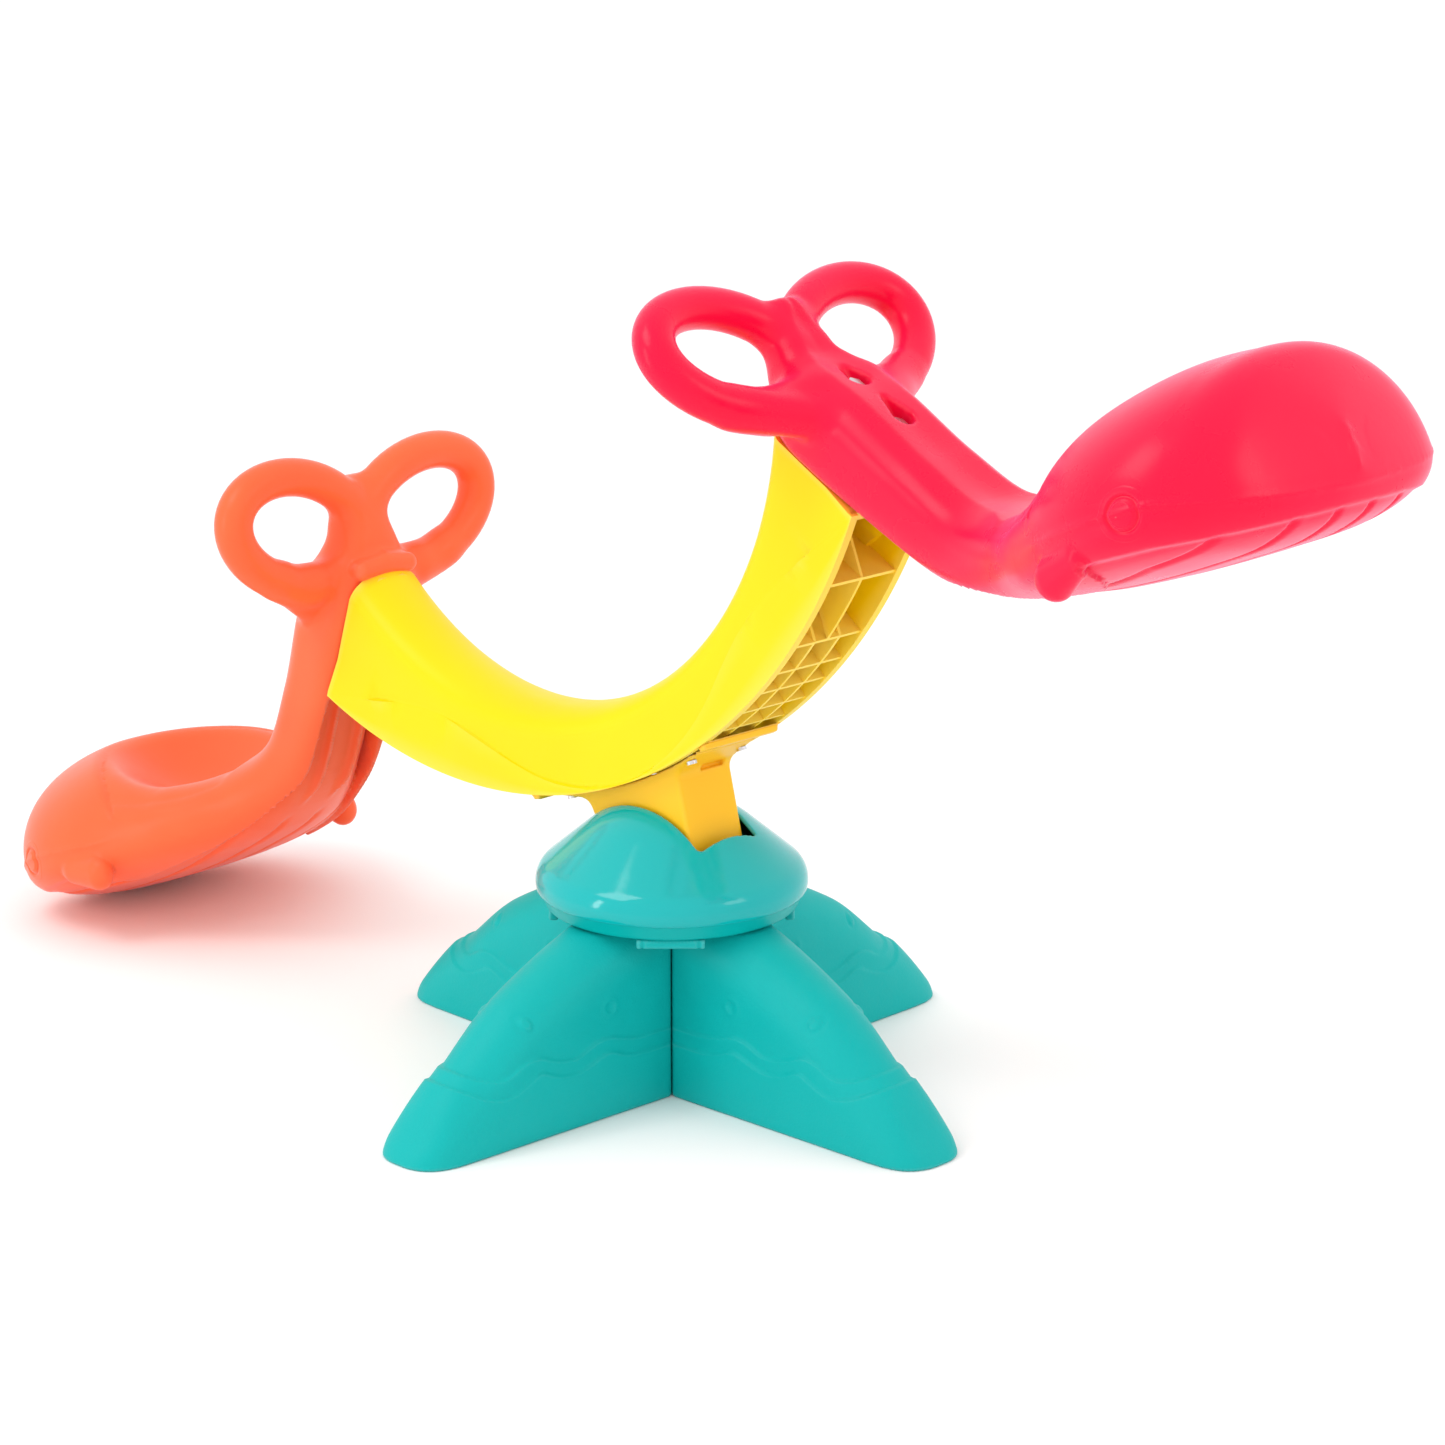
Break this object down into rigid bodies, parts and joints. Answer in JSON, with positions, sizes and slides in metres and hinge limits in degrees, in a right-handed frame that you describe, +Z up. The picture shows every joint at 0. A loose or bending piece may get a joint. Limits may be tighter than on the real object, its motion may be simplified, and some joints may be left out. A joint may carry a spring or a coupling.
{
  "type": "seesaw",
  "caption": "Children's rocking seesaw: whale-shaped seats with handle loops on a curved beam that rocks and turns on a low four-legged base.",
  "frame": {"origin": "centre of the base on the floor, under the king pin", "axes": "+Z up, +X along the beam towards the seat that is raised at rest, legs along +X, -X, +Y and -Y"},
  "size_m": [1.5233, 0.636, 0.7254],
  "materials": {
    "teal_matte": "blow-moulded polyethylene with a fine grain",
    "teal_gloss": "smooth injection-moulded gloss",
    "amber": "smooth injection-moulded satin gloss",
    "yellow": "smooth injection-moulded satin gloss",
    "pink": "smooth blow-moulded satin gloss",
    "orange": "smooth blow-moulded satin gloss",
    "zinc": "bright zinc plate",
    "nylon": "natural nylon"
  },
  "bodies": {
    "base": {"leg_front_right": "teal_matte", "leg_rear_right": "teal_matte", "leg_rear_left": "teal_matte", "leg_front_left": "teal_matte", "base_hub": "teal_matte", "leg_bolt_front_right": "zinc", "leg_bolt_rear_right": "zinc", "leg_bolt_rear_left": "zinc", "leg_bolt_front_left": "zinc", "king_pin": "zinc", "thrust_ring": "nylon"},
    "turntable": {"turntable": "teal_matte", "king_washer": "zinc", "king_nut": "zinc", "dome": "teal_gloss", "rocking_axle": "zinc", "axle_cap_near": "nylon", "axle_cap_far": "nylon"},
    "rocker": {"saddle": "amber", "beam": "yellow", "saddle_screw_pink_near": "zinc", "saddle_screw_pink_far": "zinc", "saddle_screw_orange_near": "zinc", "saddle_screw_orange_far": "zinc", "seat_pink": "pink", "seat_orange": "orange", "seat_bolt_pink_upper": "zinc", "seat_bolt_pink_lower": "zinc", "seat_bolt_orange_upper": "zinc", "seat_bolt_orange_lower": "zinc", "seat_nut_pink_upper": "zinc", "seat_nut_pink_lower": "zinc", "seat_nut_orange_upper": "zinc", "seat_nut_orange_lower": "zinc"}
  },
  "joints": [
    {"name": "turn", "type": "hinge", "parent": "base", "child": "turntable", "pos_m": [0, 0, 0.17], "axis": [0, 0, 1], "continuous": true},
    {"name": "rock", "type": "hinge", "parent": "turntable", "child": "rocker", "pos_m": [0, 0, 0.2234], "axis": [0, 1, 0], "range_deg": [0, 44.8]}
  ]
}
